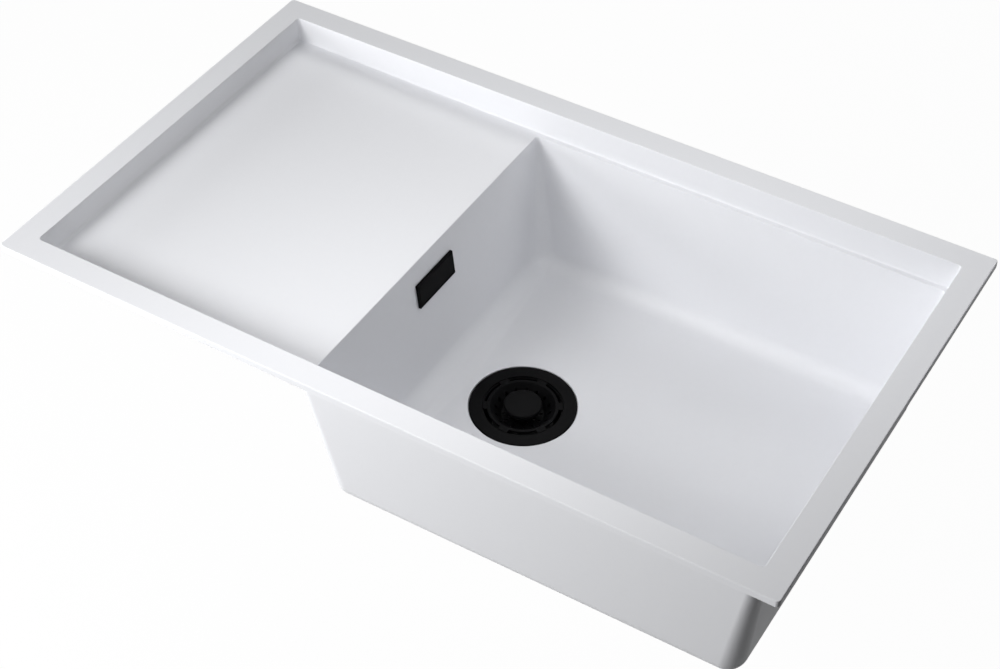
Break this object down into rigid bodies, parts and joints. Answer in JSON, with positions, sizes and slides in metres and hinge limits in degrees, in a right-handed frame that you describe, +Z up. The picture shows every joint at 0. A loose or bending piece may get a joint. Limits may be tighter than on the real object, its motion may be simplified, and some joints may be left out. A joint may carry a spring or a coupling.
{
  "type": "kitchen sink with drainboard",
  "caption": "Inset kitchen sink cast in white composite, with a shallow drainboard, one deep square bowl, a round black strainer waste and a covered overflow.",
  "frame": {"origin": "centre of the rim's underside, where the sink rests on the worktop", "axes": "+X from the drainboard to the bowl, +Y to the back, away from the person at the sink, +Z up"},
  "size_m": [0.86, 0.5, 0.296],
  "materials": {
    "composite": "satin",
    "matt_black": "matt",
    "moulded_black": "satin",
    "post_plastic": "matt",
    "hose_plastic": "satin",
    "grey_rubber": "matt",
    "black_rubber": "matt",
    "steel": "brushed",
    "brass": "satin"
  },
  "bodies": {
    "sink": {"basin": "composite", "flange_gasket": "grey_rubber", "waste_flange": "matt_black", "bowl_gasket": "grey_rubber", "waste_cup": "moulded_black", "outlet_funnel": "moulded_black", "cup_cross": "moulded_black", "thread_insert": "brass", "centre_bolt": "steel", "overflow_frame": "matt_black", "overflow_screws": "steel", "overflow_gasket": "grey_rubber", "overflow_housing": "moulded_black", "overflow_hose": "hose_plastic", "housing_washer": "grey_rubber", "housing_nut": "moulded_black", "cup_washer": "grey_rubber", "cup_nut": "moulded_black"},
    "strainer": {"strainer_basket": "matt_black", "strainer_post": "post_plastic", "strainer_knob": "matt_black", "strainer_seal": "black_rubber", "post_clip": "steel"},
    "cover": {"overflow_cover": "matt_black"}
  },
  "joints": [
    {"name": "strainer_lift", "type": "slide", "parent": "sink", "child": "strainer", "axis": [0, 0, 1], "range_m": [0, 0.26]},
    {"name": "cover_pull", "type": "slide", "parent": "sink", "child": "cover", "axis": [0.9942, 0, 0.108], "range_m": [0, 0.03]}
  ]
}
